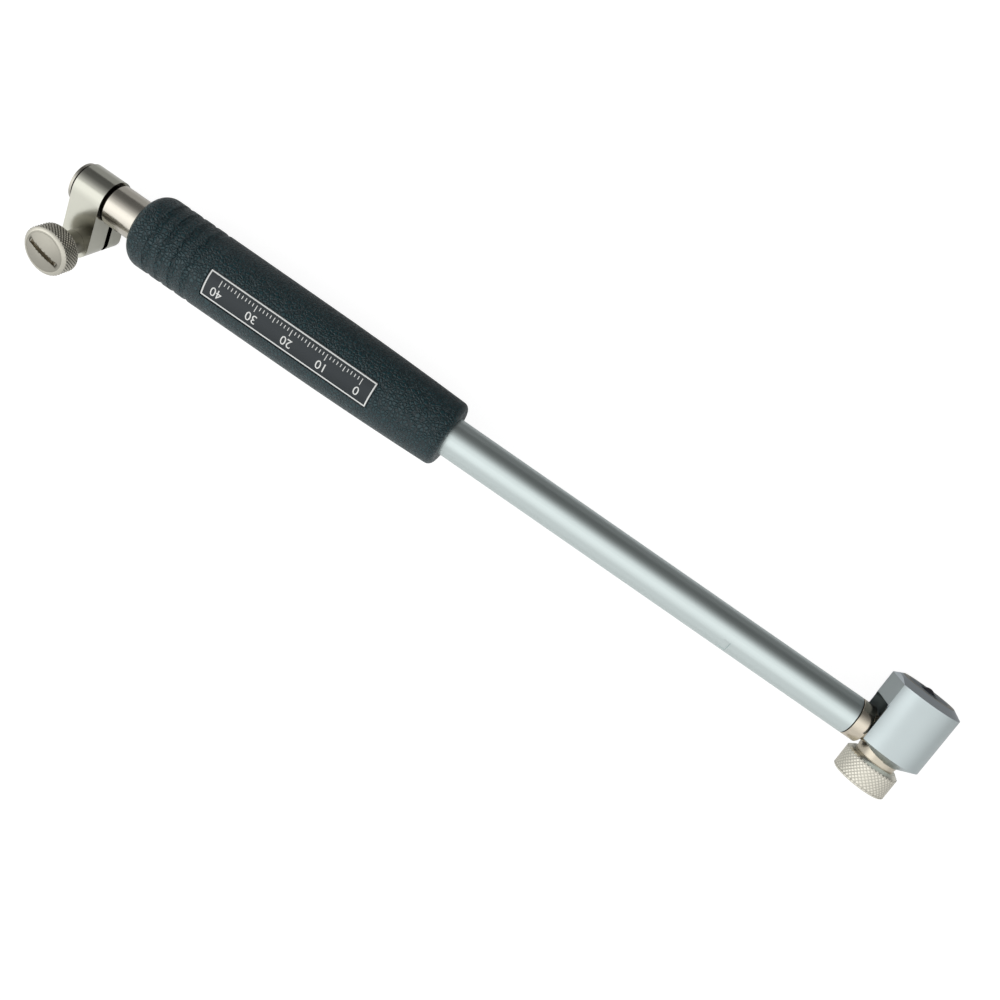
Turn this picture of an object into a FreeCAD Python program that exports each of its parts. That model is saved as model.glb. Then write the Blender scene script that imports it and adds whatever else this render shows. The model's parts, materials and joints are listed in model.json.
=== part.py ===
"""Dial bore gauge body: clamp sleeve, grip, stem and measuring head. Millimetres.

+X runs from the indicator's end to the head, +Y is the way the contact points, +Z is up.
The origin is the centre of the mouth of the bore that takes the indicator's stem.
"""

import FreeCAD, Part
import math
import os

os.makedirs("parts", exist_ok=True)

Vec = FreeCAD.Vector
ALONG_X = Vec(1, 0, 0)
ALONG_Y = Vec(0, 1, 0)
ALONG_Z = Vec(0, 0, 1)

# --- fits and gaps -----------------------------------------------------------
running_fit = 0.03          # radial, shaft in its own bearing
slip_fit = 0.05             # radial, parts turned or slid by hand
body_gap = 0.3              # between parts that move past one another
contact_gap = 0.05          # rest gap between crank pads and what they push

# --- sleeve, ring and clamp --------------------------------------------------
indicator_r = 4.0           # bore for the standard 8 mm indicator stem
indicator_depth = 20.0
sleeve_r = 6.15
sleeve_shown = 11.0         # bare sleeve between clamp and grip
sleeve_in_grip = 14.0
sleeve_chamfer = 0.8
seat_r = 5.6                # turned down for the clamp and its ring
seat_gap = 1.0              # seat left bare between clamp and shoulder
slit_width = 0.8
slit_count = 3
ring_r = 5.9
ring_width = 1.2
ring_groove_depth = 0.4
ring_opening = 3.0
ring_edge = 0.5             # sleeve left outside the ring
clamp_width = 9.0
clamp_wall = 0.95
clamp_slot_shift = 1.3      # slot's middle, away from the screw's head
clamp_spread = 0.9          # how far the far ear slopes out
clamp_slot = 1.8
clamp_angle = -156.0        # direction of the ears about +X, from +Y
clamp_edge = 0.2
screw_offset = 14.0         # screw's axis from the sleeve's axis
thread_r = 1.95
screw_neck_r = 3.3
screw_neck = 6.1
knob_r = 6.85
knob_width = 5.7
knob_chamfer = 0.7
knob_dome_r = 19.4          # crowned face
driver_slot = 1.2
driver_slot_depth = 1.35
driver_cutter_r = 14.0
driver_slot_turn = 16.0

# --- grip and its label ------------------------------------------------------
grip_length = 103.1
grip_r = 10.95
grip_foot_r = 10.05
grip_swell = 54.0           # cylindrical length before the taper
grip_round_top = 4.0
grip_round_foot = 2.0
groove_count = 4
groove_first = 8.0
groove_pitch = 4.2
groove_width = 2.0
groove_depth = 0.45
label_turn = 9.2            # from +Z towards -Y
label_start = 25.8
label_length = 54.9
label_width = 8.5
label_thickness = 0.3
label_inset = 0.5           # depth of its pocket below the grip
label_margin = 0.12
label_corner = 0.7

# --- stem --------------------------------------------------------------------
probe_depth = 150.0         # grip's foot to the measuring axis
stem_r = 5.85
stem_bore_r = 4.4
stem_edge = 0.3
mark_before_axis = 54.4
mark_length = 2.3
mark_width = 3.8
mark_depth = 0.45
mark_angle = 38.0           # from +Z towards -Y
collar_start = 12.9         # collar's upper face before the measuring axis
collar_length = 4.4
collar_groove = 0.25
spigot_length = 16.0

# --- measuring head ----------------------------------------------------------
barrel_r = 6.1
barrel_front = 10.3
barrel_back = 5.5           # shoulder behind the measuring axis
neck_r = 4.2
spigot_thread_r = 5.0
anvil_r = 2.5
anvil_depth = 7.0
washer_width = 1.15
washer_r = 6.0
nut_r = 8.15
nut_length = 7.85
nut_end_wall = 1.8
nut_hole_r = 3.2
nut_chamfer = 1.3
nut_edge = 0.5
guide_r = 11.1
guide_back = 5.0
guide_front = 17.8
guide_wall = 4.6
guide_travel = 1.6
guide_front_chamfer = (2.9, 1.6)
guide_back_chamfer = (4.9, 2.6)
guide_flat = 8.95
guide_slot_width = 13.6
guide_slot_end = 9.1
guide_slot_corner = 1.2
contact_r = 2.1
contact_tip_r = 1.7
contact_tip_land = 0.7
contact_proud = 0.95
contact_travel = 1.2
contact_shoulder = 0.5
contact_foot_r = 0.8

# --- transfer mechanism ------------------------------------------------------
crank_arm = 3.2
crank_pad_r = 0.9
crank_hub_r = 1.5
crank_width = 2.0
crank_web = 1.0
crank_pin_r = 0.75
rod_r = 1.5
rod_foot_r = 1.1
rod_foot_length = 6.0
rod_head_r = 2.4
rod_head_length = 2.0
rod_head_room_r = 3.2
rod_head_room = 9.0
bushing_r = 3.0
bushing_length = 8.0
rod_collar_r = 2.9
rod_collar_length = 2.0

# --- springs -----------------------------------------------------------------
guide_spring_r = 1.2        # outer
guide_spring_wire = 0.4
guide_spring_turns = 4
guide_spring_offset = 4.3
spring_pocket = 4.0
guide_screw_r = 0.6
guide_screw_head_r = 1.3
guide_screw_head = 1.1
guide_screw_grip = 2.6
guide_screw_slot = 0.45
rod_spring_r = 3.3
rod_spring_wire = 0.7
rod_spring_turns = 5
rod_spring_length = 15.0

# --- places that follow from the sizes above ---------------------------------
clamp_start = ring_edge + ring_width + body_gap
clamp_end = clamp_start + clamp_width
clamp_middle = clamp_start + clamp_width / 2
clamp_bore_r = seat_r + slip_fit
clamp_r = clamp_bore_r + clamp_wall
seat_end = clamp_end + seat_gap
grip_top = clamp_end + sleeve_shown
grip_foot = grip_top + grip_length
sleeve_end = grip_top + sleeve_in_grip
axis_x = grip_foot + probe_depth
stem_end = axis_x - collar_start
rod_guide_r = rod_r + running_fit
rod_room_r = rod_r + body_gap
crank_x = axis_x - crank_arm
crank_y = crank_arm
rod_end = crank_x - crank_pad_r - contact_gap
rod_head_end = indicator_depth + 3.0
washer_back = barrel_back + washer_width
nut_back = washer_back + nut_length
guide_inner_face = guide_front - guide_wall


# --- helpers -----------------------------------------------------------------
def rod(start, direction, radius, length):
    """Solid cylinder from a point along a direction."""
    return Part.makeCylinder(radius, length, start, direction)


def pipe(start, direction, outer, inner, length):
    """Cylinder with a coaxial hole right through it."""
    return rod(start, direction, outer, length).cut(rod(start, direction, inner, length))


def on_stem(x, radius, length):
    """Cylinder on the stem's axis, from x towards the head."""
    return rod(Vec(x, 0, 0), ALONG_X, radius, length)


def on_head(y, radius, length, x=0.0, z=0.0):
    """Cylinder along +Y, placed from the measuring axis."""
    return rod(Vec(axis_x + x, y, z), ALONG_Y, radius, length)


def turned(profile, axis, origin):
    """Revolve (distance along, radius) points about X or Y through an origin."""
    if axis == "X":
        points = [origin + Vec(along, radius, 0) for along, radius in profile]
        spin = ALONG_X
    else:
        points = [origin + Vec(radius, along, 0) for along, radius in profile]
        spin = ALONG_Y
    face = Part.Face(Part.makePolygon(points + points[:1]))
    return face.revolve(origin, spin, 360)


def block(low, high):
    """Box between two opposite corners."""
    size = high - low
    return Part.makeBox(size.x, size.y, size.z, low)


def spring(start, direction, outer, wire, turns, length):
    """Round wire helix that fits between two planes a given length apart."""
    height = length - wire
    helix = Part.makeHelix(height / turns, height, outer - wire / 2)
    section = Part.Wire(Part.Circle(Vec(outer - wire / 2, 0, 0), ALONG_Y, wire / 2).toShape())
    coil = Part.Wire(helix.Edges).makePipeShell([section], True, True)
    coil.Placement = FreeCAD.Placement(
        start + direction * (wire / 2), FreeCAD.Rotation(ALONG_Z, direction)
    )
    return coil


def save(name, shape):
    """Write one named solid."""
    shape.exportStep("parts/" + name + ".step")


# --- indicator end -----------------------------------------------------------
def indicator_sleeve():
    """Slit sleeve that the clamp squeezes on the indicator's stem."""
    spigot = on_stem(sleeve_end, stem_bore_r, spigot_length)
    body = on_stem(0, seat_r, sleeve_end).fuse(on_stem(seat_end, sleeve_r, sleeve_end - seat_end))
    mouth = body.Edges
    rims = [e for e in mouth if abs(e.CenterOfMass.x) < 1e-6 and len(e.Vertexes) == 1]
    body = body.makeChamfer(sleeve_chamfer, rims).fuse(spigot)
    body = body.cut(on_stem(0, indicator_r, indicator_depth))
    body = body.cut(on_stem(indicator_depth, rod_head_room_r, rod_head_room))
    body = body.cut(on_stem(indicator_depth, rod_room_r, sleeve_end + spigot_length))
    bush_start = sleeve_end + spigot_length - bushing_length
    body = body.cut(on_stem(bush_start, bushing_r, bushing_length))
    groove_r = seat_r - ring_groove_depth
    body = body.cut(pipe(Vec(ring_edge, 0, 0), ALONG_X, ring_r, groove_r, ring_width))
    slit = block(Vec(-1, 0, -slit_width / 2), Vec(clamp_end - 1, ring_r, slit_width / 2))
    for k in range(slit_count):
        cutter = slit.copy()
        cutter.rotate(Vec(0, 0, 0), ALONG_X, 90 + k * 360.0 / slit_count)
        body = body.cut(cutter)
    return body.removeSplitter()


def retaining_ring():
    """Open ring in the sleeve's groove that keeps the clamp on."""
    inner = seat_r - ring_groove_depth
    ring = pipe(Vec(ring_edge, 0, 0), ALONG_X, ring_r, inner, ring_width)
    half = ring_opening / 2
    return ring.cut(block(Vec(-1, -half, -ring_r - 1), Vec(ring_edge + ring_width + 1, half, 0)))


def clamp_frame():
    """Placement that takes +Y to the ears' direction."""
    return FreeCAD.Placement(Vec(clamp_middle, 0, 0), FreeCAD.Rotation(ALONG_X, clamp_angle))


def clamp_ring():
    """Drop shaped ring with two ears and the slot between them."""
    half = clamp_width / 2
    corners = [
        Vec(-half, 0, -clamp_r),
        Vec(-half, screw_offset, -clamp_r),
        Vec(-half, screw_offset, clamp_r + clamp_spread),
        Vec(-half, 0, clamp_r),
    ]
    ears = Part.Face(Part.makePolygon(corners + corners[:1])).extrude(Vec(clamp_width, 0, 0))
    ends = rod(Vec(0, screw_offset, -clamp_r), ALONG_Z, half, 2 * clamp_r + clamp_spread)
    ring = rod(Vec(-half, 0, 0), ALONG_X, clamp_r, clamp_width).fuse([ears, ends]).removeSplitter()
    ring = ring.cut(rod(Vec(-half, 0, 0), ALONG_X, clamp_bore_r, clamp_width))
    for side in (-1, 1):
        mouth = Part.makeCone(
            clamp_bore_r + clamp_edge, clamp_bore_r, clamp_edge, Vec(side * half, 0, 0), ALONG_X * -side
        )
        ring = ring.cut(mouth)
    low = clamp_slot_shift - clamp_slot / 2
    ring = ring.cut(block(Vec(-half, 0, low), Vec(half, screw_offset + half, low + clamp_slot)))
    plain = rod(Vec(0, screw_offset, -clamp_r), ALONG_Z, thread_r + body_gap, clamp_r + low)
    tapped = rod(Vec(0, screw_offset, low), ALONG_Z, thread_r + slip_fit, 2 * clamp_r)
    ring = ring.cut(plain).cut(tapped).removeSplitter()
    ring.Placement = clamp_frame()
    return ring


def clamp_screw():
    """Thumb screw: wide crowned head with a saw-cut slot, neck and shank."""
    rim_r = knob_r - knob_chamfer
    crown = knob_dome_r - math.sqrt(knob_dome_r**2 - rim_r**2)
    back = -clamp_r - screw_neck
    rim = back - knob_width
    face = rim - crown
    shank_end = clamp_r - body_gap
    profile = [
        (face, 0),
        (face, rim_r),
        (rim, rim_r),
        (rim + knob_chamfer, knob_r),
        (back - knob_chamfer, knob_r),
        (back, rim_r),
        (back, screw_neck_r),
        (-clamp_r, screw_neck_r),
        (-clamp_r, thread_r),
        (shank_end, thread_r),
        (shank_end, 0),
    ]
    screw = turned(profile, "Y", Vec(0, 0, 0))
    screw.rotate(Vec(0, 0, 0), ALONG_X, 90)
    screw = screw.common(Part.makeSphere(knob_dome_r, Vec(0, 0, face + knob_dome_r)))
    centre = Vec(0, -driver_slot / 2, face + driver_slot_depth - driver_cutter_r)
    cutter = rod(centre, ALONG_Y, driver_cutter_r, driver_slot)
    cutter.rotate(Vec(0, 0, 0), ALONG_Z, driver_slot_turn)
    screw = screw.cut(cutter)
    screw.translate(Vec(0, screw_offset, 0))
    screw.Placement = clamp_frame().multiply(screw.Placement)
    return screw


# --- grip --------------------------------------------------------------------
def label_box(margin, depth):
    """Rounded prism over the label, turned with it and reaching past the grip."""
    start = grip_top + label_start + margin
    half = label_width / 2 - margin
    box = block(
        Vec(start, -half, grip_r / 2), Vec(start + label_length - 2 * margin, half, grip_r + depth)
    )
    upright = [e for e in box.Edges if abs(e.Vertexes[0].Z - e.Vertexes[-1].Z) > 1]
    box = box.makeFillet(label_corner, upright)
    box.rotate(Vec(0, 0, 0), ALONG_X, label_turn)
    return box


def grip():
    """Moulded handle: four finger grooves, long cylinder, gentle taper to the foot."""
    swell_end = grip_top + grip_swell
    taper = grip_foot - swell_end
    drop = grip_r - grip_foot_r
    sweep_r = (taper**2 + drop**2) / (2 * drop)
    half_turn = math.asin(taper / sweep_r) / 2
    middle = Vec(
        swell_end + sweep_r * math.sin(half_turn),
        grip_r - sweep_r * (1 - math.cos(half_turn)),
        0,
    )
    a = Vec(grip_top, 0, 0)
    b = Vec(grip_top, grip_r, 0)
    c = Vec(swell_end, grip_r, 0)
    d = Vec(grip_foot, grip_foot_r, 0)
    e = Vec(grip_foot, 0, 0)
    outline = Part.Wire(
        [
            Part.LineSegment(a, b).toShape(),
            Part.LineSegment(b, c).toShape(),
            Part.Arc(c, middle, d).toShape(),
            Part.LineSegment(d, e).toShape(),
            Part.LineSegment(e, a).toShape(),
        ]
    )
    body = Part.Face(outline).revolve(Vec(0, 0, 0), ALONG_X, 360)
    for x, radius in ((grip_top, grip_round_top), (grip_foot, grip_round_foot)):
        rims = [k for k in body.Edges if abs(k.CenterOfMass.x - x) < 1e-6 and k.Length > 20]
        body = body.makeFillet(radius, rims[:1])
    cutter_r = ((groove_width / 2) ** 2 + groove_depth**2) / (2 * groove_depth)
    for k in range(groove_count):
        centre = Vec(grip_top + groove_first + k * groove_pitch, 0, 0)
        path_r = grip_r + cutter_r - groove_depth
        body = body.cut(Part.makeTorus(path_r, cutter_r, centre, ALONG_X))
    pocket = label_box(0, 1).cut(on_stem(grip_top, grip_r - label_inset, grip_length))
    body = body.cut(pocket)
    body = body.cut(on_stem(grip_top, sleeve_r, sleeve_in_grip))
    return body.cut(on_stem(sleeve_end, stem_r, grip_length))


def label_plate():
    """Thin curved plate inlaid in the grip's pocket."""
    floor_r = grip_r - label_inset
    shell = pipe(Vec(grip_top, 0, 0), ALONG_X, floor_r + label_thickness, floor_r, grip_length)
    return shell.common(label_box(label_margin, 1))


# --- stem --------------------------------------------------------------------
def stem_tube():
    """Long tube from the sleeve to the head's collar, with a small index notch."""
    length = stem_end - sleeve_end
    tube = on_stem(sleeve_end, stem_r, length)
    rims = [e for e in tube.Edges if abs(e.CenterOfMass.x - stem_end) < 1e-6]
    tube = tube.makeChamfer(stem_edge, rims[:1])
    tube = tube.cut(on_stem(sleeve_end, stem_bore_r, length))
    half = mark_width / 2
    x = axis_x - mark_before_axis
    notch = block(Vec(x - mark_length / 2, -half, stem_r - mark_depth), Vec(x + mark_length / 2, half, 8))
    notch.rotate(Vec(0, 0, 0), ALONG_X, mark_angle)
    return tube.cut(notch)


def stem_collar():
    """Plated ring between the tube and the head's neck."""
    collar = turned(
        [
            (0, stem_bore_r),
            (0, stem_r - collar_groove),
            (collar_groove, stem_r),
            (collar_length - collar_groove, stem_r),
            (collar_length, stem_r - collar_groove),
            (collar_length, stem_bore_r),
        ],
        "X",
        Vec(stem_end, 0, 0),
    )
    return collar


def push_rod():
    """Long rod with a seat for the spring, a slim foot and a flat head."""
    start = rod_head_end + rod_head_length
    body = on_stem(start, rod_r, rod_end - start - rod_foot_length)
    body = body.fuse(on_stem(rod_end - rod_foot_length, rod_foot_r, rod_foot_length))
    collar_x = sleeve_end + spigot_length + rod_spring_length
    return body.fuse(on_stem(collar_x, rod_collar_r, rod_collar_length)).removeSplitter()


def rod_head():
    """Hardened cap that the indicator's contact rests on."""
    cap = on_stem(rod_head_end, rod_head_r, rod_head_length)
    rims = [e for e in cap.Edges if abs(e.CenterOfMass.x - rod_head_end) < 1e-6]
    return cap.makeFillet(body_gap, rims[:1])


def rod_bushing(x):
    """Bronze bearing for the push rod."""
    return pipe(Vec(x, 0, 0), ALONG_X, bushing_r, rod_guide_r, bushing_length)


def rod_spring():
    """Spring that holds the push rod against the crank."""
    start = Vec(sleeve_end + spigot_length, 0, 0)
    return spring(start, ALONG_X, rod_spring_r, rod_spring_wire, rod_spring_turns, rod_spring_length)


# --- head --------------------------------------------------------------------
def crank_room():
    """Slot in the barrel that leaves the crank room to swing."""
    margin = body_gap + crank_pad_r
    half = crank_width / 2 + body_gap / 2
    low = Vec(crank_x - crank_hub_r - body_gap, -margin, -half)
    high = Vec(axis_x + margin + body_gap / 2, crank_y + crank_hub_r + body_gap, half)
    return block(low, high)


def head_body():
    """Cross barrel, neck and spigot in one turned and milled piece."""
    y = -barrel_back
    barrel = on_head(y, barrel_r, barrel_front + barrel_back)
    thread = on_head(-nut_back + nut_end_wall + body_gap, spigot_thread_r, nut_back)
    neck = on_stem(stem_end + collar_length - 1, neck_r, collar_start - collar_length + 1)
    spigot = on_stem(stem_end - spigot_length, stem_bore_r, spigot_length + collar_length)
    body = barrel.fuse([thread, neck, spigot]).removeSplitter()
    body = body.cut(on_stem(stem_end - spigot_length, bushing_r, bushing_length))
    body = body.cut(on_stem(stem_end - spigot_length, rod_room_r, crank_x - stem_end + spigot_length))
    body = body.cut(crank_room())
    body = body.cut(on_head(crank_y, contact_r + running_fit, barrel_front))
    for side in (-1, 1):
        z = side * guide_spring_offset
        pocket = on_head(barrel_front - spring_pocket, guide_spring_r + body_gap / 2, spring_pocket, z=z)
        hole_y = barrel_front - spring_pocket - guide_screw_grip
        body = body.cut(pocket).cut(on_head(hole_y, guide_screw_r, guide_screw_grip, z=z))
    body = body.cut(rod(Vec(crank_x, crank_y, -barrel_r), ALONG_Z, crank_pin_r, 2 * barrel_r))
    anvil_y = -nut_back + nut_end_wall + body_gap
    return body.cut(on_head(anvil_y, anvil_r, anvil_depth))


def crank_pin():
    """Pivot pin across the barrel, a little below its surface at both ends."""
    half = math.sqrt(barrel_r**2 - (crank_arm + crank_pin_r) ** 2)
    return rod(Vec(crank_x, crank_y, -half), ALONG_Z, crank_pin_r, 2 * half)


def bell_crank():
    """Right-angle lever that turns the contact's stroke along the stem."""
    low = -crank_width / 2
    hub = rod(Vec(crank_x, crank_y, low), ALONG_Z, crank_hub_r, crank_width)
    pads = [Vec(axis_x, crank_y, low), Vec(crank_x, 0, low)]
    lever = hub
    half = crank_web / 2
    lever = lever.fuse(block(Vec(crank_x, crank_y - half, low), Vec(axis_x, crank_y + half, -low)))
    lever = lever.fuse(block(Vec(crank_x - half, 0, low), Vec(crank_x + half, crank_y, -low)))
    for pad in pads:
        lever = lever.fuse(rod(pad, ALONG_Z, crank_pad_r, crank_width))
    bore = rod(Vec(crank_x, crank_y, low), ALONG_Z, crank_pin_r + running_fit, crank_width)
    return lever.cut(bore).removeSplitter()


def contact_plunger():
    """Sliding contact holder with a slim foot that clears the crank's hub."""
    start = crank_y + crank_pad_r + contact_gap
    end = guide_front + contact_proud - contact_tip_land - contact_shoulder
    bearing = crank_y + crank_hub_r + contact_travel + body_gap
    stem = on_head(bearing, contact_r, end - bearing)
    rims = [e for e in stem.Edges if abs(e.CenterOfMass.y - end) < 1e-6]
    stem = stem.makeChamfer(body_gap, rims[:1])
    return stem.fuse(on_head(start, contact_foot_r, bearing - start)).removeSplitter()


def contact_tip():
    """Carbide button with a domed end."""
    end = guide_front + contact_proud
    start = end - contact_tip_land - contact_shoulder
    land = on_head(start, contact_tip_r, end - start)
    dome_r = (contact_tip_r**2 + contact_tip_land**2) / (2 * contact_tip_land)
    return land.common(Part.makeSphere(dome_r, Vec(axis_x, end - dome_r, 0)))


def guide():
    """Spring-loaded centring shoe: cup with a flat and a slot for the neck."""
    back_in, back_along = guide_back_chamfer
    front_in, front_along = guide_front_chamfer
    body = turned(
        [
            (-guide_back, 0),
            (-guide_back, guide_r - back_in),
            (-guide_back + back_along, guide_r),
            (guide_front - front_along, guide_r),
            (guide_front, guide_r - front_in),
            (guide_front, 0),
        ],
        "Y",
        Vec(axis_x, 0, 0),
    )
    low = Vec(axis_x - guide_r - 1, -guide_back - 1, -guide_r - 1)
    body = body.cut(block(low, Vec(axis_x - guide_flat, guide_front + 1, guide_r + 1)))
    body = body.cut(on_head(-guide_back, barrel_r + slip_fit, guide_inner_face + guide_back))
    half = guide_slot_width / 2
    slot = block(
        Vec(axis_x - guide_r - 1, -guide_back - 1, -half), Vec(axis_x, guide_slot_end, half)
    )
    inner = [
        e
        for e in slot.Edges
        if abs(e.CenterOfMass.y - guide_slot_end) < 1e-6 and abs(abs(e.CenterOfMass.z) - half) < 1e-6
    ]
    body = body.cut(slot.makeFillet(guide_slot_corner, inner))
    body = body.cut(on_head(guide_inner_face, contact_r + body_gap, guide_wall))
    seat = screw_seat()
    for side in (-1, 1):
        z = side * guide_spring_offset
        body = body.cut(on_head(guide_inner_face, guide_screw_r + body_gap / 2, guide_wall, z=z))
        sink = on_head(seat, guide_screw_head_r + body_gap / 2, guide_front - seat, z=z)
        body = body.cut(sink)
    return body


def screw_seat():
    """Where the guide screws' heads stop the guide, so that they stay below its face."""
    return guide_front - guide_travel - body_gap - guide_screw_head


def guide_screw(side):
    """Shoulder screw that the guide slides on and is kept by."""
    z = side * guide_spring_offset
    start = barrel_front - spring_pocket - guide_screw_grip
    seat = screw_seat()
    screw = on_head(start, guide_screw_r, seat - start, z=z)
    screw = screw.fuse(on_head(seat, guide_screw_head_r, guide_screw_head, z=z))
    top = seat + guide_screw_head
    half = guide_screw_slot / 2
    low = Vec(axis_x - guide_screw_head_r, top - guide_screw_slot, z - half)
    high = Vec(axis_x + guide_screw_head_r, top + 1, z + half)
    return screw.cut(block(low, high))


def guide_spring(side):
    """Small spring round each guide screw, from the barrel's pocket to the guide."""
    start = barrel_front - spring_pocket
    base = Vec(axis_x, start, side * guide_spring_offset)
    length = guide_inner_face - start
    return spring(base, ALONG_Y, guide_spring_r, guide_spring_wire, guide_spring_turns, length)


def spacer_washer():
    """Loose washer between the barrel's shoulder and the nut."""
    start = Vec(axis_x, -washer_back, 0)
    return pipe(start, ALONG_Y, washer_r, spigot_thread_r + slip_fit, washer_width)


def anvil_nut():
    """Round nut that holds the interchangeable anvil."""
    body = turned(
        [
            (-nut_back, 0),
            (-nut_back, nut_r - nut_edge),
            (-nut_back + nut_edge, nut_r),
            (-washer_back - nut_chamfer, nut_r),
            (-washer_back, nut_r - nut_chamfer),
            (-washer_back, 0),
        ],
        "Y",
        Vec(axis_x, 0, 0),
    )
    body = body.cut(on_head(-nut_back, nut_hole_r, nut_length))
    thread_start = -nut_back + nut_end_wall
    return body.cut(on_head(thread_start, spigot_thread_r + slip_fit, nut_length))


# --- everything --------------------------------------------------------------
save("indicator_sleeve", indicator_sleeve())
save("retaining_ring", retaining_ring())
save("clamp_ring", clamp_ring())
save("clamp_screw", clamp_screw())
save("grip", grip())
save("label_plate", label_plate())
save("stem_tube", stem_tube())
save("stem_collar", stem_collar())
save("push_rod", push_rod())
save("rod_head", rod_head())
save("rod_bushing_upper", rod_bushing(sleeve_end + spigot_length - bushing_length))
save("rod_bushing_lower", rod_bushing(stem_end - spigot_length))
save("rod_spring", rod_spring())
save("head_body", head_body())
save("crank_pin", crank_pin())
save("bell_crank", bell_crank())
save("contact_plunger", contact_plunger())
save("contact_tip", contact_tip())
save("guide", guide())
for label, side in (("upper", 1), ("lower", -1)):
    save("guide_screw_" + label, guide_screw(side))
    save("guide_spring_" + label, guide_spring(side))
save("spacer_washer", spacer_washer())
save("anvil_nut", anvil_nut())
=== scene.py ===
"""Dial bore gauge: finishes, knurls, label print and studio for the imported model. Metres."""

import json
import math

import bmesh
import bpy
from mathutils import Matrix, Vector


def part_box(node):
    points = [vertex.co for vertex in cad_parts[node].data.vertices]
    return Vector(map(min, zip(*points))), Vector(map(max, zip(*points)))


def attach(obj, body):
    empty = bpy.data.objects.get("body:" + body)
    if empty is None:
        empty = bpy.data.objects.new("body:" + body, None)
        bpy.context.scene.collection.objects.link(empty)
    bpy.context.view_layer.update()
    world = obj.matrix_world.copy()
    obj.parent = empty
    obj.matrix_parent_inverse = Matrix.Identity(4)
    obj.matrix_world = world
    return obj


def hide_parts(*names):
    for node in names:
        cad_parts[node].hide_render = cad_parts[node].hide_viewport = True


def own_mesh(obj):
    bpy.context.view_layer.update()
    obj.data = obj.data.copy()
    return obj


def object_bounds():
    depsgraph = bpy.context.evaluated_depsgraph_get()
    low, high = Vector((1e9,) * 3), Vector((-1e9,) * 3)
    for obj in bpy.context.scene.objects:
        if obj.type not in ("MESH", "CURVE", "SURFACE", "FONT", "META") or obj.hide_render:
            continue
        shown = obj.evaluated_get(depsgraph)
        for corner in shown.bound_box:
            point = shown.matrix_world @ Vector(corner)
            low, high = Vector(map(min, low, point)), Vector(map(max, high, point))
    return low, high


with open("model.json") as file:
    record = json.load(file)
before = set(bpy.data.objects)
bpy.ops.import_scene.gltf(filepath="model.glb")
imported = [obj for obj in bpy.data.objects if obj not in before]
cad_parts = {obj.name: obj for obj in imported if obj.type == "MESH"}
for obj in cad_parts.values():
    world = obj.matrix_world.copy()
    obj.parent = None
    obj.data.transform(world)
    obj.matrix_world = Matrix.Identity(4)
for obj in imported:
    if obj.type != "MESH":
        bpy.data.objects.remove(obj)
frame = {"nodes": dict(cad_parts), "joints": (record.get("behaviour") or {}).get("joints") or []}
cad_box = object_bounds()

MM = 0.001
nodes = frame["nodes"]
joints = {joint["name"]: joint for joint in frame["joints"]}
# The guide, the contact and the anvil nut all lie on one line along Y through the head.
head_x = joints["anvil_nut_turn"]["pos_m"][0]
head_centre = (head_x, 0, 0)
# Half turn less 24 degrees: the way the clamp's ears and its screw hang from the sleeve.
CLAMP_SWING = math.radians(156)


# --- small tools --------------------------------------------------------------
MULTIPLY = {"operation": "MULTIPLY"}
COLOUR = {"data_type": "RGBA"}


def linear(code):
    """Linear colour from an sRGB hex code."""
    channels = [int(code[i : i + 2], 16) / 255 for i in (1, 3, 5)]
    flat = [c / 12.92 if c <= 0.04045 else ((c + 0.055) / 1.055) ** 2.4 for c in channels]
    return (*flat, 1.0)


def feed(tree, node, **links):
    """Feed a node's inputs with sockets or plain values; i0 names input number 0."""
    for name, value in links.items():
        key = int(name[1:]) if name[0] == "i" and name[1:].isdigit() else name.replace("_", " ")
        if isinstance(value, bpy.types.NodeSocket):
            tree.links.new(value, node.inputs[key])
        else:
            node.inputs[key].default_value = value


def add_node(tree, kind, settings=None, **links):
    """Add a node, set its properties and feed its inputs."""
    node = tree.nodes.new(kind)
    for name, value in (settings or {}).items():
        setattr(node, name, value)
    feed(tree, node, **links)
    return node


def new_material(name, **values):
    """Material with one Principled shader whose plain values are set on its sockets."""
    material = bpy.data.materials.new(name)
    material.use_nodes = True
    tree = material.node_tree
    shader = tree.nodes["Principled BSDF"]
    feed(tree, shader, **values)
    return material, tree, shader


def from_axis(tree, place, centre, across):
    """Distance of place from a line through centre; across is 0 along that line, else 1."""
    shifted = add_node(
        tree, "ShaderNodeVectorMath", {"operation": "SUBTRACT"}, i0=place, i1=centre
    )
    flat = add_node(tree, "ShaderNodeVectorMath", MULTIPLY, i0=shifted.outputs[0], i1=across)
    length = add_node(tree, "ShaderNodeVectorMath", {"operation": "LENGTH"}, i0=flat.outputs[0])
    return length.outputs["Value"]


def region(tree, *limits):
    """1 where all limits hold; a limit is a socket, its value at 0 and its value at 1."""
    inside = None
    for value, outer, inner in limits:
        ramp = add_node(tree, "ShaderNodeMapRange", Value=value, From_Min=outer, From_Max=inner)
        share = ramp.outputs["Result"]
        if inside:
            share = add_node(tree, "ShaderNodeMath", MULTIPLY, i0=inside, i1=share).outputs[0]
        inside = share
    return inside


def painted(tree, base, *coats):
    """Base colour under coats; a coat is its share of the surface and its colour."""
    tone = linear(base)
    for share, colour in coats:
        mix = add_node(tree, "ShaderNodeMix", COLOUR, Factor=share, i6=tone, i7=linear(colour))
        tone = mix.outputs[2]
    return tone


# --- finishes -----------------------------------------------------------------
# Near black, for painted shade and for dark joint lines.
NEAR_BLACK = "#15130f"
GUIDE_TONE = "#bfc9ca"
CLAMP_TONE = "#bfbfb4"
RING_TONE = "#b9b6ac"
KNURL_TONE = "#e6e3d6"
SOFT_EDGE = 0.05 * MM
# Plated parts keep their tone up to here; beyond, painted shade darkens the sleeve's seat and dark
# joint lines mark the collar's grooves.
SEAT_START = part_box("clamp_ring")[0][0] - 0.35 * MM


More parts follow.
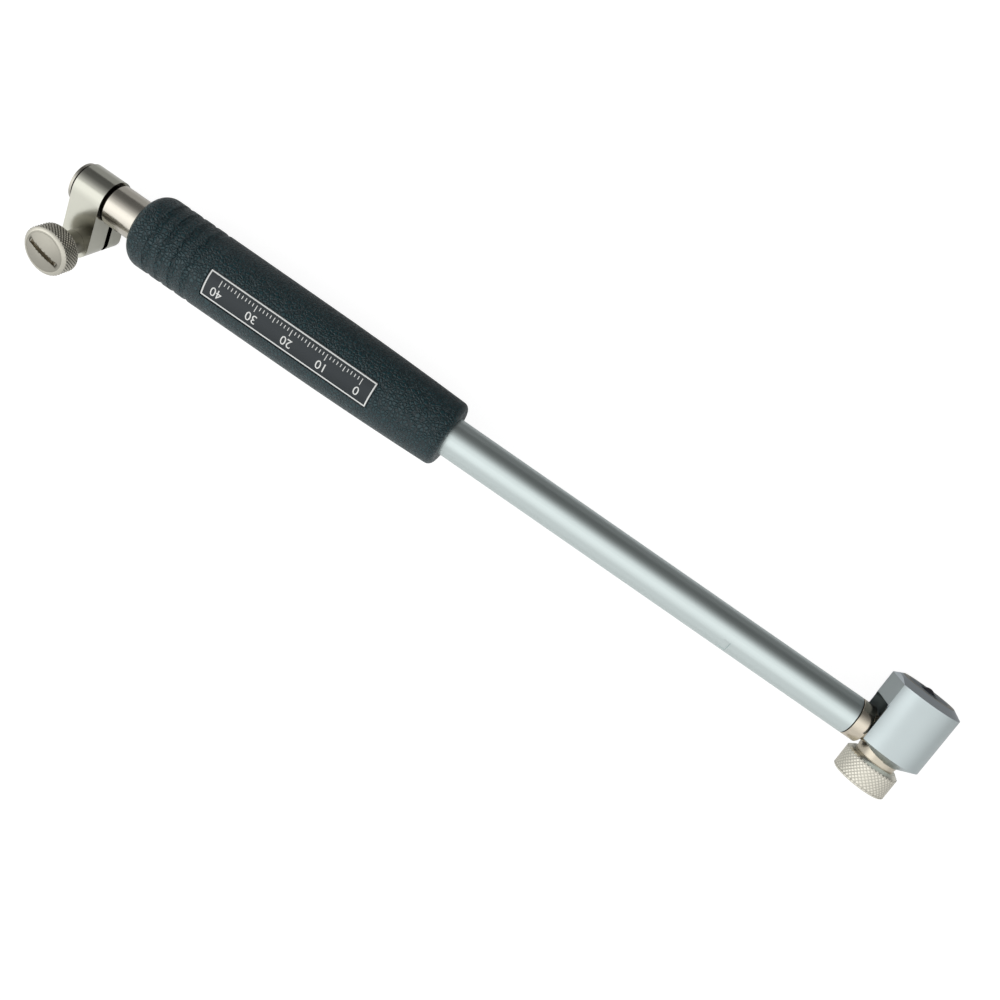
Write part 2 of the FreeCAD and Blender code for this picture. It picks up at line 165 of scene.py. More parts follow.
def turned_metal(name, colour, roughness, axis="X", shade_and_joint_within=None):
    """Plated metal turned on a lathe: fine rings round the axis that stretch each highlight.

    The rings are 0.15 mm apart, coarser than real feed marks, so that they show. Beyond
    SEAT_START all that lies nearer the axis than the given radius is painted nearly black: painted
    shade in the sleeve's seat, dark joint lines in the collar's grooves.
    """
    material, tree, shader = new_material(
        name, Base_Color=linear(colour), Metallic=1.0, Roughness=roughness
    )
    place = add_node(tree, "ShaderNodeTexCoord").outputs["Object"]
    pitch, spread = 1 / (0.15 * MM), 1 / (25 * MM)
    stretch = {"X": (pitch, spread, spread), "Y": (spread, pitch, spread)}[axis]
    along = add_node(tree, "ShaderNodeMapping", Vector=place, Scale=stretch).outputs[0]
    rings = add_node(tree, "ShaderNodeTexNoise", Vector=along, Scale=1.0, Detail=3.0).outputs["Fac"]
    cloud = add_node(tree, "ShaderNodeTexNoise", Vector=place, Scale=0.16 / MM, Detail=3.0)
    both = add_node(
        tree, "ShaderNodeMath", {"operation": "ADD"}, i0=rings, i1=cloud.outputs["Fac"]
    )
    rough = add_node(
        tree,
        "ShaderNodeMapRange",
        Value=both.outputs[0],
        From_Min=0.6,
        From_Max=1.4,
        To_Min=roughness * 0.8,
        To_Max=roughness * 1.25,
    )
    bump = add_node(tree, "ShaderNodeBump", Height=rings, Strength=0.04, Distance=0.02 * MM)
    feed(tree, shader, Roughness=rough.outputs["Result"], Normal=bump.outputs[0])
    if shade_and_joint_within:
        depth = from_axis(tree, place, (0, 0, 0), (0, 1, 1))
        along_x = add_node(tree, "ShaderNodeSeparateXYZ", Vector=place).outputs["X"]
        # Painted shade: near the axis beyond SEAT_START the part is painted nearly black (the
        # sleeve's seat in shade, the collar's groove joints).
        bore = region(
            tree,
            (depth, shade_and_joint_within + 0.02 * MM, shade_and_joint_within - 0.02 * MM),
            (along_x, SEAT_START - 0.01 * MM, SEAT_START),
        )
        feed(tree, shader, Base_Color=painted(tree, colour, (bore, NEAR_BLACK)))
    return material, tree, shader


def plain_metal(name, colour, roughness, specks=0.9 / MM):
    """Metal with a little uneven gloss, as a tumbled or ground small part has."""
    material, tree, shader = new_material(
        name, Base_Color=linear(colour), Metallic=1.0, Roughness=roughness
    )
    place = add_node(tree, "ShaderNodeTexCoord").outputs["Object"]
    cloud = add_node(tree, "ShaderNodeTexNoise", Vector=place, Scale=specks, Detail=4.0)
    rough = add_node(
        tree,
        "ShaderNodeMapRange",
        Value=cloud.outputs["Fac"],
        To_Min=roughness * 0.75,
        To_Max=roughness * 1.25,
    )
    feed(tree, shader, Roughness=rough.outputs["Result"])
    return material


def satin_chrome(name, colour, roughness):
    """Satin hard chrome over ground steel: soft broad reflections and a very fine even grit."""
    material, tree, shader = new_material(
        name, Base_Color=linear(colour), Metallic=1.0, Roughness=roughness
    )
    place = add_node(tree, "ShaderNodeTexCoord").outputs["Object"]
    grit = add_node(tree, "ShaderNodeTexNoise", Vector=place, Scale=5 / MM, Detail=2.0)
    cloud = add_node(tree, "ShaderNodeTexNoise", Vector=place, Scale=0.09 / MM, Detail=3.0)
    rough = add_node(
        tree,
        "ShaderNodeMapRange",
        Value=cloud.outputs["Fac"],
        From_Min=0.3,
        From_Max=0.7,
        To_Min=roughness * 0.92,
        To_Max=roughness * 1.08,
    )
    bump = add_node(
        tree, "ShaderNodeBump", Height=grit.outputs["Fac"], Strength=0.12, Distance=0.01 * MM
    )
    feed(tree, shader, Roughness=rough.outputs["Result"], Normal=bump.outputs[0])
    return material, tree, shader


def guide_finish():
    """Satin chromed guide: chamfer with a painted highlight, dull lapped front, painted shade in
    the bore and window.
    """
    material, tree, shader = satin_chrome("satin_chromed_guide", GUIDE_TONE, 0.38)
    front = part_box("guide")[1][1]
    bore_r, window_half, window_top = 6.2 * MM, 6.83 * MM, 9.15 * MM
    window_start, window_end = head_x - 8.85 * MM, head_x - 1.1 * MM
    place = add_node(tree, "ShaderNodeTexCoord").outputs["Object"]
    part = add_node(tree, "ShaderNodeSeparateXYZ", Vector=place).outputs
    height = add_node(tree, "ShaderNodeMath", {"operation": "ABSOLUTE"}, i0=part["Z"]).outputs[0]
    chamfer = region(tree, (part["Y"], front - 1.62 * MM, front - 1.55 * MM))
    face = region(tree, (part["Y"], front - 0.04 * MM, front - 0.01 * MM))
    depth = from_axis(tree, place, head_centre, (1, 0, 1))
    bore = region(tree, (depth, bore_r + SOFT_EDGE, bore_r))
    window = region(
        tree,
        (height, window_half + 0.04 * MM, window_half),
        (part["X"], window_start - SOFT_EDGE, window_start),
        (part["X"], window_end + 0.1 * MM, window_end),
        (part["Y"], window_top + SOFT_EDGE, window_top),
    )
    # Painted highlight: the chamfer is brighter than the guide. Painted shade: the bore and the
    # window are darker.
    tone = painted(
        tree,
        GUIDE_TONE,
        (chamfer, "#e2eaf0"),
        (face, "#b4b2a8"),
        (bore, "#76838c"),
        (window, "#76838c"),
    )
    feed(tree, shader, Base_Color=tone)
    return material


def ring_finish():
    """Nickelled spring ring, with painted shade on the side next to the clamp."""
    material, tree, shader = turned_metal("nickelled_spring_ring", RING_TONE, 0.28)
    place = add_node(tree, "ShaderNodeTexCoord").outputs["Object"]
    along_x = add_node(tree, "ShaderNodeSeparateXYZ", Vector=place).outputs["X"]
    # Painted shade: beyond 1.2 mm along X, next to the clamp, the ring is painted nearly black.
    gap_shade = region(tree, (along_x, 1.2 * MM, 1.25 * MM))
    feed(tree, shader, Base_Color=painted(tree, RING_TONE, (gap_shade, NEAR_BLACK)))
    return material


def clamp_finish():
    """Polished nickel clamp with painted shade in its sawn slot."""
    material, tree, shader = turned_metal("polished_nickel_clamp", CLAMP_TONE, 0.17)
    slot_low, slot_high, slot_start = 0.38 * MM, 2.22 * MM, 5.2 * MM
    place = add_node(tree, "ShaderNodeTexCoord").outputs["Object"]
    level = add_node(tree, "ShaderNodeMapping", Vector=place, Rotation=(CLAMP_SWING, 0, 0))
    part = add_node(tree, "ShaderNodeSeparateXYZ", Vector=level.outputs[0]).outputs
    # Painted shade: the walls of the slot are painted nearly black.
    slot_shade = region(
        tree,
        (part["Z"], slot_low - 0.04 * MM, slot_low),
        (part["Z"], slot_high + 0.04 * MM, slot_high),
        (part["Y"], slot_start - 0.2 * MM, slot_start),
    )
    feed(tree, shader, Base_Color=painted(tree, CLAMP_TONE, (slot_shade, NEAR_BLACK)))
    return material


def moulded_grip():
    """Thermoplastic moulded with a leather grain: cells about 1 mm with soft creases."""
    material, tree, shader = new_material("leather_grained_plastic", IOR=1.54)
    place = add_node(tree, "ShaderNodeTexCoord").outputs["Object"]
    warp = add_node(tree, "ShaderNodeTexNoise", Vector=place, Scale=0.42 / MM, Detail=3.0)
    shifted = add_node(
        tree,
        "ShaderNodeVectorMath",
        {"operation": "MULTIPLY_ADD"},
        i0=warp.outputs["Color"],
        i1=(1.6 * MM, 1.6 * MM, 1.6 * MM),
        i2=place,
    ).outputs[0]
    cells = add_node(
        tree,
        "ShaderNodeTexVoronoi",
        {"feature": "DISTANCE_TO_EDGE"},
        Vector=shifted,
        Scale=1 / MM,
    )
    plateau = region(tree, (cells.outputs["Distance"], 0.0, 0.22))
    fine = add_node(tree, "ShaderNodeTexNoise", Vector=shifted, Scale=2.6 / MM, Detail=2.0)
    height = add_node(
        tree,
        "ShaderNodeMath",
        {"operation": "MULTIPLY_ADD"},
        i0=fine.outputs["Fac"],
        i1=0.45,
        i2=plateau,
    )
    bump = add_node(
        tree, "ShaderNodeBump", Height=height.outputs[0], Strength=1.0, Distance=0.2 * MM
    )
    gloss = add_node(tree, "ShaderNodeMapRange", Value=plateau, To_Min=0.45, To_Max=0.32)
    feed(
        tree,
        shader,
        Base_Color=painted(tree, "#051e23", (plateau, "#0b353b")),
        Roughness=gloss.outputs["Result"],
        Normal=bump.outputs[0],
    )
    return material


def knurled_nickel():
    """Nickel plate on a rolled knurl: cream points, and a stored level that darkens the grooves
    with grime and painted shade and the screw's face and neck with painted shade.
    """
    material, tree, shader = new_material("nickel_on_rolled_knurl", Metallic=1.0)
    place = add_node(tree, "ShaderNodeTexCoord").outputs["Object"]
    cloud = add_node(tree, "ShaderNodeTexNoise", Vector=place, Scale=1.5 / MM, Detail=3.0)
    rough = add_node(
        tree, "ShaderNodeMapRange", Value=cloud.outputs["Fac"], To_Min=0.32, To_Max=0.44
    )
    # Stored level of grime and painted shade on the knurled pieces; lower is darker.
    shade_and_grime_level = add_node(tree, "ShaderNodeAttribute", {"attribute_name": "shade_and_grime_level"}).outputs["Fac"]
    feed(
        tree,
        shader,
        Base_Color=painted(tree, "#3d3a2f", (shade_and_grime_level, KNURL_TONE)),
        Roughness=rough.outputs["Result"],
    )
    return material


def anodised_film():
    """Dark anodised foil of the label: matt, with a faint sheen along its length."""
    material, tree, shader = new_material(
        "anodised_label_foil", Base_Color=linear("#34393c"), Metallic=0.6
    )
    place = add_node(tree, "ShaderNodeTexCoord").outputs["Object"]
    grain = (0.3 / MM, 5 / MM, 5 / MM)
    along = add_node(tree, "ShaderNodeMapping", Vector=place, Scale=grain)
    brushed = add_node(tree, "ShaderNodeTexNoise", Vector=along.outputs[0], Scale=1.0)
    rough = add_node(
        tree, "ShaderNodeMapRange", Value=brushed.outputs["Fac"], To_Min=0.34, To_Max=0.5
    )
    feed(tree, shader, Roughness=rough.outputs["Result"])
    return material


def printing_ink():
    """White screen-printing ink: matt, a little uneven in tone."""
    material, tree, shader = new_material("screen_print_ink", Roughness=0.6)
    place = add_node(tree, "ShaderNodeTexCoord").outputs["Object"]
    cloud = add_node(tree, "ShaderNodeTexNoise", Vector=place, Scale=3 / MM).outputs["Fac"]
    feed(tree, shader, Base_Color=painted(tree, "#dcdfdc", (cloud, "#f0f1ee")))
    return material


chrome = satin_chrome("satin_chromed_tube", "#d3dedd", 0.3)[0]
sleeve_nickel = turned_metal("turned_nickel_sleeve", "#cfcabf", 0.2, shade_and_joint_within=5.9 * MM)[0]
collar_nickel = turned_metal("turned_nickel_collar", "#d8cfbe", 0.2, shade_and_joint_within=5.72 * MM)[0]
body_nickel = turned_metal("turned_nickel_body", "#c9c1b0", 0.28, axis="Y")[0]
knurl = knurled_nickel()
# Small working parts: each has the plain gloss and tint of its own metal.
steel = plain_metal("ground_tool_steel", "#8f9092", 0.28)
wire = plain_metal("drawn_spring_wire", "#a3a29e", 0.25)
bronze = plain_metal("oiled_bronze", "#a98152", 0.35)
carbide = plain_metal("lapped_carbide", "#56565c", 0.18)
# Walls of the screw's driver slot: dull from the saw, and a little rough.
saw_cut = plain_metal("sawn_steel_slot", "#857d6d", 0.4, specks=2.5 / MM)

FINISH = {
    "stem_tube": chrome,
    "guide": guide_finish(),
    "indicator_sleeve": sleeve_nickel,
    "retaining_ring": ring_finish(),
    "clamp_ring": clamp_finish(),
    "stem_collar": collar_nickel,
    "head_body": body_nickel,
    "spacer_washer": body_nickel,
    "clamp_screw": knurl,
    "anvil_nut": knurl,
    "grip": moulded_grip(),
    "label_plate": anodised_film(),
    "rod_bushing_upper": bronze,
    "rod_bushing_lower": bronze,
    "rod_spring": wire,
    "guide_spring_upper": wire,
    "guide_spring_lower": wire,
    "contact_tip": carbide,
}
for name, node in nodes.items():
    node.data.materials.clear()
    node.data.materials.append(FINISH.get(name, steel))


# --- tools for pieces ---------------------------------------------------------
# The knurl runs this far into the chamfers, and its roots get grime and painted shade but for a
# margin there.
KNURL_RUNOUT = 0.3 * MM
KNURL_MARGIN = 0.05 * MM
MERGE = 0.001 * MM


def middle_of(node):
    """Middle of a node along X."""
    low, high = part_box(node)
    return (low[0] + high[0]) / 2


def add_piece(name, mesh, material, body, replaced=None):
    """Link a finished bmesh as a piece that rides on a body."""
    data = bpy.data.meshes.new(name)
    mesh.to_mesh(data)
    mesh.free()
    piece = bpy.data.objects.new(name, data)
    bpy.context.scene.collection.objects.link(piece)
    data.materials.append(material)
    data.shade_smooth()
    data.set_sharp_from_angle(angle=math.radians(32))
    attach(piece, body)
    if replaced:
        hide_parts(replaced)
    return piece


def knurl_band(mesh, tip_radius, depth, length, cells):
    """Diamond knurl about Z from z = 0 to length; returns its lower and upper rims.

    A grid turned by 45 degrees is trimmed to the unrolled rim and rolled up, and each of its
    cells is then raised to a blunt point.
    """
    radius = tip_radius - depth
    width = math.tau * radius / cells
    flank = 0.21 * width
    count = 2 * math.ceil((cells + length / width + 2) / 2)
    bmesh.ops.create_grid(
        mesh, x_segments=count, y_segments=count, size=count * width / math.sqrt(8)
    )
    bmesh.ops.rotate(mesh, verts=mesh.verts, matrix=Matrix.Rotation(math.radians(45), 3, "Z"))
    half = math.pi * radius
    for side in (-1, 1):
        for edge, normal in ((half, Vector((side, 0, 0))), (length / 2, Vector((0, side, 0)))):
            bmesh.ops.bisect_plane(
                mesh,
                geom=mesh.verts[:] + mesh.edges[:] + mesh.faces[:],
                dist=1e-7,
                plane_co=normal * edge,
                plane_no=normal,
                clear_outer=True,
            )
    for vert in mesh.verts:
        turn = vert.co.x / radius
        vert.co = Vector((radius * math.cos(turn), radius * math.sin(turn), vert.co.y + length / 2))
    bmesh.ops.remove_doubles(mesh, verts=mesh.verts, dist=MERGE)
    seam = [
        edge
        for edge in mesh.edges
        if not edge.is_boundary and all(v.co.x < 0 and abs(v.co.y) < 1e-7 for v in edge.verts)
    ]
    bmesh.ops.dissolve_edges(mesh, edges=seam)
    bmesh.ops.inset_individual(
        mesh, faces=mesh.faces[:], thickness=flank, depth=depth, use_even_offset=True
    )
    for vert in mesh.verts:
        room = radius + max(0.0, min(vert.co.z, length - vert.co.z))
        scale = min(1.0, room / vert.co.xy.length)
        vert.co = Vector((vert.co.x * scale, vert.co.y * scale, vert.co.z))
    rims = [edge for edge in mesh.edges if edge.is_boundary]
    lower = [edge for edge in rims if edge.verts[0].co.z < length / 2]
    return lower, [edge for edge in rims if edge not in lower]


def set_shine(mesh, root_radius, low, high, tones):
    """Store how dark each point is painted, as grime and painted shade: tones holds clean, root,
    face and neck levels.
    """
    layer = mesh.verts.layers.float.new("shade_and_grime_level")
    face_r, neck_r = 5.7 * MM, 3.4 * MM
    for vert in mesh.verts:
        radius, height = vert.co.xy.length, vert.co.z
        part = "clean"
        if abs(radius - root_radius) < 0.03 * MM and low < height < high:
            part = "root"
        elif radius < face_r and height < low:
            part = "face"
        elif radius < neck_r and height > high:
            part = "neck"
        vert[layer] = tones.get(part, tones["clean"])


def carry_rim(mesh, rim, rings):
    """Carry a round rim through rings of (radius, height) and return the last one."""
    for radius, height in rings:
        made = bmesh.ops.extrude_edge_only(mesh, edges=rim)["geom"]
        rim = [part for part in made if isinstance(part, bmesh.types.BMEdge)]
        for vert in {vert for edge in rim for vert in edge.verts}:
            scale = radius / vert.co.xy.length
            vert.co = Vector((vert.co.x * scale, vert.co.y * scale, height))
    return rim


def saw_slot(mesh, cutter_radius, width, turn, centre_z):
    """Cut a slot with a thin round saw that stands across the face."""
    saw = bmesh.new()
    bmesh.ops.create_cone(
        saw, cap_ends=True, segments=240, radius1=cutter_radius, radius2=cutter_radius, depth=width
    )
    upright = Matrix.Rotation(math.radians(turn), 4, "Z") @ Matrix.Rotation(math.pi / 2, 4, "X")
    saw.transform(Matrix.Translation((0, 0, centre_z)) @ upright)
    pair = []
    for name, shape in (("screw_blank", mesh), ("saw", saw)):
        data = bpy.data.meshes.new(name)
        shape.to_mesh(data)
        shape.free()
        pair.append(bpy.data.objects.new(name, data))
        bpy.context.scene.collection.objects.link(pair[-1])
    blank, blade = pair
    cut = blank.modifiers.new("saw_cut", "BOOLEAN")
    cut.operation = "DIFFERENCE"
    cut.solver = "EXACT"
    cut.object = blade
    graph = bpy.context.evaluated_depsgraph_get()
    result = bmesh.new()
    result.from_mesh(bpy.data.meshes.new_from_object(blank.evaluated_get(graph)))
    for thing in pair:
        bpy.data.objects.remove(thing)
    return result


# --- thumb screw and anvil nut ------------------------------------------------
def thumb_screw():
    """Clamp screw with its knurled head, crowned face, saw slot, neck and shank."""
    knob_r, depth, width, chamfer, cells = 6.85 * MM, 0.27 * MM, 5.7 * MM, 0.7 * MM, 42
    neck_r, neck, shank_r, shank_end = 3.3 * MM, 6.1 * MM, 1.9 * MM, 6.3 * MM
    clamp_r, screw_offset = 6.6 * MM, 14.0 * MM
    dome_r, line_depth = 19.4 * MM, 0.08 * MM
    saw_r, saw_width, saw_turn, saw_depth = 14.0 * MM, 1.2 * MM, 16, 1.35 * MM
    back = -clamp_r - neck
    rim = back - width
    rim_r = knob_r - chamfer
    seat = -clamp_r - 0.03 * MM
    face = rim - (dome_r - math.sqrt(dome_r**2 - rim_r**2))

    def crown(radius, sunk=0.0):
        return radius, face + dome_r - math.sqrt(dome_r**2 - radius**2) + sunk

    mesh = bmesh.new()
    low = rim + chamfer - KNURL_RUNOUT
    high = back - chamfer + KNURL_RUNOUT
    lower, upper = knurl_band(mesh, knob_r, depth, high - low, cells)
    bmesh.ops.translate(mesh, verts=mesh.verts, vec=(0, 0, low))
    front = [(rim_r, rim), crown(5.75 * MM)]
    front += [crown(5.65 * MM, line_depth), crown(5.45 * MM, line_depth)]
    front += [crown(radius * MM) for radius in (5.35, 4.6, 3.8, 3.0, 2.2, 1.4, 0.7)]
    root = [(rim_r, back), (neck_r, back), (neck_r, seat), (shank_r, seat), (shank_r, shank_end)]
    for start, rings in ((lower, front), (upper, root)):
        bmesh.ops.contextual_create(mesh, geom=carry_rim(mesh, start, rings))
    bmesh.ops.recalc_face_normals(mesh, faces=mesh.faces)
    # Grime and painted shade in the roots; painted shade on the crowned face and the neck.
    tones = {"clean": 0.77, "root": 0.08, "face": 0.47, "neck": 0.25}
    set_shine(mesh, knob_r - depth, low + KNURL_MARGIN, high - KNURL_MARGIN, tones)
    mesh = saw_slot(mesh, saw_r, saw_width, saw_turn, face + saw_depth - saw_r)
    ball = Vector((0, 0, face + dome_r))
    for part in mesh.faces:
        centre = part.calc_center_median()
        over_face = centre.z < rim and centre.xy.length < 5.0 * MM
        if over_face and (centre - ball).length < dome_r - 0.12 * MM:
            part.material_index = 1
    axis = Vector(joints["clamp_swivel"]["pos_m"])
    place = Matrix.Translation((middle_of("clamp_ring"), axis.y, axis.z))
    swing = Matrix.Rotation(-CLAMP_SWING, 4, "X")
    mesh.transform(place @ swing @ Matrix.Translation((0, screw_offset, 0)))
    piece = add_piece(
        "knurled_thumb_screw", mesh, knurl, "thumb_screw", "clamp_screw"
    )
    piece.data.materials.append(saw_cut)


def knurled_nut():
    """Anvil nut with its knurled rim, end wall and thread bore."""
    nut_r, depth, edge, chamfer, cells = 8.15 * MM, 0.11 * MM, 0.5 * MM, 1.3 * MM, 41
    hole_r, bore_r, wall = 3.2 * MM, 5.05 * MM, 1.8 * MM
    low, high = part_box("anvil_nut")
    length = high[1] - low[1]
    start = edge - KNURL_RUNOUT / 2
    end = length - chamfer + KNURL_RUNOUT
    mesh = bmesh.new()
    lower, upper = knurl_band(mesh, nut_r, depth, end - start, cells)
    bmesh.ops.translate(mesh, verts=mesh.verts, vec=(0, 0, start))
    inside = [(nut_r - edge, 0), (hole_r, 0), (hole_r, wall), (bore_r, wall), (bore_r, length)]
    last = carry_rim(mesh, lower, inside + [(nut_r - chamfer, length)])
    bmesh.ops.bridge_loops(mesh, edges=last + upper)
    bmesh.ops.recalc_face_normals(mesh, faces=mesh.faces)
    # Grime and painted shade in the knurl's roots.
    tones = {"clean": 1.0, "root": 0.6}
    set_shine(mesh, nut_r - depth, start + KNURL_MARGIN, end - KNURL_MARGIN, tones)
    upright = Matrix.Rotation(-math.pi / 2, 4, "X")
    mesh.transform(Matrix.Translation((head_x, low[1], 0)) @ upright)
    add_piece("knurled_anvil_nut", mesh, knurl, "nut", "anvil_nut")


# --- label print --------------------------------------------------------------
def flat_bar(mesh, long, wide, place):
    """Lay one flat rectangle round a place."""
    corners = bmesh.ops.create_grid(mesh, x_segments=1, y_segments=1, size=0.5)["verts"]
    bmesh.ops.scale(mesh, vec=(long, wide, 1), verts=corners)
    bmesh.ops.translate(mesh, vec=place, verts=corners)


def flat_number(mesh, number, size, place):
    """Lay a plain number round a place, on its base line."""
    text = bpy.data.curves.new("scale_number", "FONT")
    text.body = str(number)
    text.size = size
    text.align_x = "CENTER"
    holder = bpy.data.objects.new("scale_number", text)
    bpy.context.scene.collection.objects.link(holder)
    graph = bpy.context.evaluated_depsgraph_get()
    flat = bpy.data.meshes.new_from_object(holder.evaluated_get(graph))
    bpy.data.objects.remove(holder)
    flat.transform(Matrix.Translation(place))
    mesh.from_mesh(flat)


def label_print():
    """White border, ticks and plain numbers on the curved label.

    The flat print is cut into strips along the label, so that it bends round the plate.
    """
    low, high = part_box("label_plate")
    plate_r, turn, margin, line = 10.75 * MM, math.radians(9.2), 0.5 * MM, 0.55 * MM
    long, wide = high[0] - low[0] - margin, 8.26 * MM - margin
    pitch, tick_wide, tick_start = 1.15 * MM, 0.22 * MM, 1.1 * MM
    ink, gap, strip = 0.02 * MM, 0.005 * MM, 0.45 * MM
    mesh = bmesh.new()
    flat_bar(mesh, long, wide, (0, 0, 0))
    bmesh.ops.inset_individual(mesh, faces=mesh.faces[:], thickness=line)
    inner = [face for face in mesh.faces if face.calc_center_median().length < MERGE]
    bmesh.ops.delete(mesh, geom=inner, context="FACES")
    for tick in range(41):
        reach = (2.0 if tick % 10 == 0 else 1.5 if tick % 5 == 0 else 1.0) * MM
        place = ((tick - 20) * pitch, -wide / 2 + tick_start + reach / 2, 0)
        flat_bar(mesh, tick_wide, reach, place)
    for number in range(0, 41, 10):
        flat_number(mesh, number, 3.6 * MM, ((number - 20) * pitch, -0.05 * MM, 0))
    for cut in range(-8, 9):
        bmesh.ops.bisect_plane(
            mesh,
            geom=mesh.verts[:] + mesh.edges[:] + mesh.faces[:],
            dist=1e-7,
            plane_co=(0, cut * strip, 0),
            plane_no=(0, 1, 0),
        )
    bmesh.ops.remove_doubles(mesh, verts=mesh.verts, dist=MERGE)
    bmesh.ops.recalc_face_normals(mesh, faces=mesh.faces)
    bmesh.ops.solidify(mesh, geom=mesh.faces[:], thickness=-ink)
    start = middle_of("label_plate")
    for vert in mesh.verts:
        reading, tall, lift = vert.co
        radius = plate_r + abs(lift) + gap
        angle = turn + tall / plate_r
        vert.co = Vector((start - reading, -radius * math.sin(angle), radius * math.cos(angle)))
    bmesh.ops.reverse_faces(mesh, faces=mesh.faces[:])
    add_piece("label_scale_print", mesh, printing_ink(), "frame")


# --- springs ------------------------------------------------------------------
def live_spring(node):
    """Coil spring: a merged copy of the part's mesh that rides on the frame in its place."""
    mesh = bmesh.new()
    mesh.from_mesh(nodes[node].data)
    bmesh.ops.remove_doubles(mesh, verts=mesh.verts, dist=MERGE)
    coil = add_piece(node.replace("spring", "coil"), mesh, wire, "frame", node)
    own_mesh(coil)


thumb_screw()
knurled_nut()
label_print()
live_spring("rod_spring")
for end in ("upper", "lower"):
    live_spring("guide_spring_" + end)


# --- studio -------------------------------------------------------------------
def studio_floor():
    """White paper that keeps a faint shadow.

    Light and metal meet a duller sheet, with a painted shadow on its +Y side that gives the tube
    and the sleeve their dark band.
    """
    mesh = bpy.data.meshes.new("studio_floor")
    sheet = bmesh.new()
    bmesh.ops.create_grid(sheet, x_segments=1, y_segments=1, size=4.0)
    bmesh.ops.translate(sheet, verts=sheet.verts, vec=(head_x / 2, 0, cad_box[0][2]))
    sheet.to_mesh(mesh)
    sheet.free()
    floor = bpy.data.objects.new("studio_floor", mesh)
    bpy.context.scene.collection.objects.link(floor)
    material, tree, shader = new_material(
        "studio_paper", Roughness=0.9, Emission_Color=linear("#ffffff")
    )
    path = add_node(tree, "ShaderNodeLightPath").outputs
    seen = path["Is Camera Ray"]
    mirrored = add_node(
        tree,
        "ShaderNodeMath",
        {"operation": "MAXIMUM"},
        i0=path["Is Glossy Ray"],
        i1=path["Is Transmission Ray"],
    ).outputs[0]
    place = add_node(tree, "ShaderNodeTexCoord").outputs["Object"]
    part = add_node(tree, "ShaderNodeSeparateXYZ", Vector=place).outputs
    # Painted shadow: a grey patch on the +Y side of the sheet, lighter near the clamp, seen only by
    # light and metal.
    painted_shadow = region(tree, (part["Y"], 9 * MM, 30 * MM))
    near_clamp = region(tree, (part["X"], 110 * MM, 20 * MM))
    painted_shadow_tone = painted(tree, "#5e5e5e", (near_clamp, "#a8a8a8"))
    laid = add_node(
        tree, "ShaderNodeMix", COLOUR, Factor=painted_shadow, i6=linear("#e0e0e0"), i7=painted_shadow_tone
    ).outputs[2]
    paper = add_node(
        tree, "ShaderNodeMix", COLOUR, Factor=seen, i6=laid, i7=linear("#808080")
    ).outputs[2]
    in_metal = add_node(tree, "ShaderNodeMath", MULTIPLY, i0=mirrored, i1=0.1).outputs[0]
    glow = add_node(
        tree, "ShaderNodeMath", {"operation": "MULTIPLY_ADD"}, i0=seen, i1=0.9, i2=in_metal
    )
    feed(tree, shader, Base_Color=paper, Emission_Strength=glow.outputs[0])
    floor.data.materials.append(material)


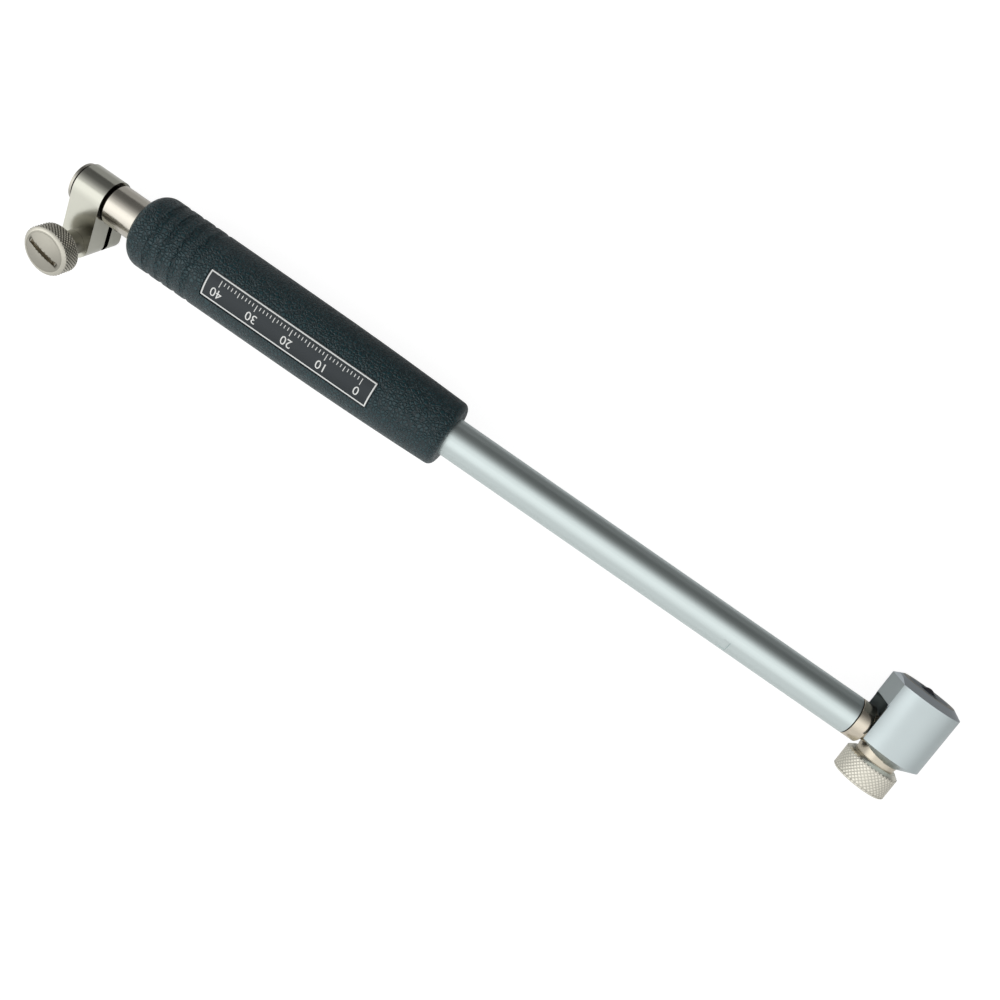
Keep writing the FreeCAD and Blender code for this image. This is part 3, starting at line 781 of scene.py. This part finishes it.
def studio_light():
    """Light tent: bright overhead, with one unlit gap above the horizon on the +Y side."""
    world = bpy.data.worlds.new("studio")
    bpy.context.scene.world = world
    world.use_nodes = True
    tree = world.node_tree
    way = add_node(tree, "ShaderNodeTexCoord").outputs["Generated"]
    part = add_node(tree, "ShaderNodeSeparateXYZ", Vector=way).outputs
    angle = add_node(tree, "ShaderNodeMath", {"operation": "ARCTAN2"}, i0=part["Y"], i1=part["Z"])
    share = add_node(
        tree, "ShaderNodeMapRange", Value=angle.outputs[0], From_Min=-math.pi, From_Max=math.pi
    )
    ramp = add_node(tree, "ShaderNodeValToRGB", Fac=share.outputs["Result"])
    # Degrees from overhead towards +Y, and how bright the tent is there.
    stops = [
        (-120, 0.85),
        (-85, 0.82),
        (-57, 0.78),
        (-38, 0.95),
        (-24, 1.15),
        (0, 1.2),
        (14, 0.92),
        (33, 0.42),
        (52, 0.16),
        (86, 0.12),
        (100, 0.3),
        (150, 0.4),
    ]
    bands = ramp.color_ramp
    while len(bands.elements) < len(stops):
        bands.elements.new(0.5)
    for element, (degrees, level) in zip(bands.elements, stops):
        element.position = (degrees + 180) / 360
        element.color = (level, level, level, 1)
    far_end = add_node(
        tree,
        "ShaderNodeMapRange",
        Value=part["X"],
        From_Min=0.5,
        From_Max=1.0,
        To_Min=1,
        To_Max=0.8,
    )
    fall = add_node(
        tree,
        "ShaderNodeVectorMath",
        MULTIPLY,
        i0=ramp.outputs["Color"],
        i1=far_end.outputs["Result"],
    )
    seen = add_node(tree, "ShaderNodeLightPath").outputs["Is Camera Ray"]
    shown = add_node(
        tree, "ShaderNodeMix", COLOUR, Factor=seen, i6=fall.outputs[0], i7=linear("#ffffff")
    )
    feed(tree, tree.nodes["Background"], Color=shown.outputs[2], Strength=1.0)


def key_light():
    """Soft window light from the indicator's end, low on the -Y side."""
    data = bpy.data.lights.new("key", "AREA")
    data.shape = "RECTANGLE"
    data.size = 0.8
    data.size_y = 0.8
    data.energy = 1.0
    lamp = bpy.data.objects.new("key", data)
    lamp.location = (-0.45, -0.35, 0.55)
    aim = Vector((head_x / 3, 0, 0)) - lamp.location
    lamp.rotation_euler = aim.to_track_quat("-Z", "Y").to_euler()
    bpy.context.scene.collection.objects.link(lamp)


def camera():
    """Camera above the stem, nearer to the head, with its long side turned along the gauge."""
    data = bpy.data.cameras.new("camera")
    data.sensor_width = 36.0
    data.lens = 36.8
    data.shift_x = -0.045
    data.shift_y = 0.032
    eye = bpy.data.objects.new("camera", data)
    eye.location = (head_x - 114.62 * MM, 44.08 * MM, 283.29 * MM)
    right = Vector((0.82162, 0.56184, -0.09633))
    up = Vector((-0.57001, 0.80802, -0.149))
    back = Vector((-0.00588, 0.17733, 0.98413))
    eye.rotation_euler = Matrix((right, up, back)).transposed().to_euler()
    bpy.context.scene.collection.objects.link(eye)
    bpy.context.scene.camera = eye


studio_floor()
studio_light()
key_light()
camera()
bpy.context.scene.view_settings.view_transform = "Standard"
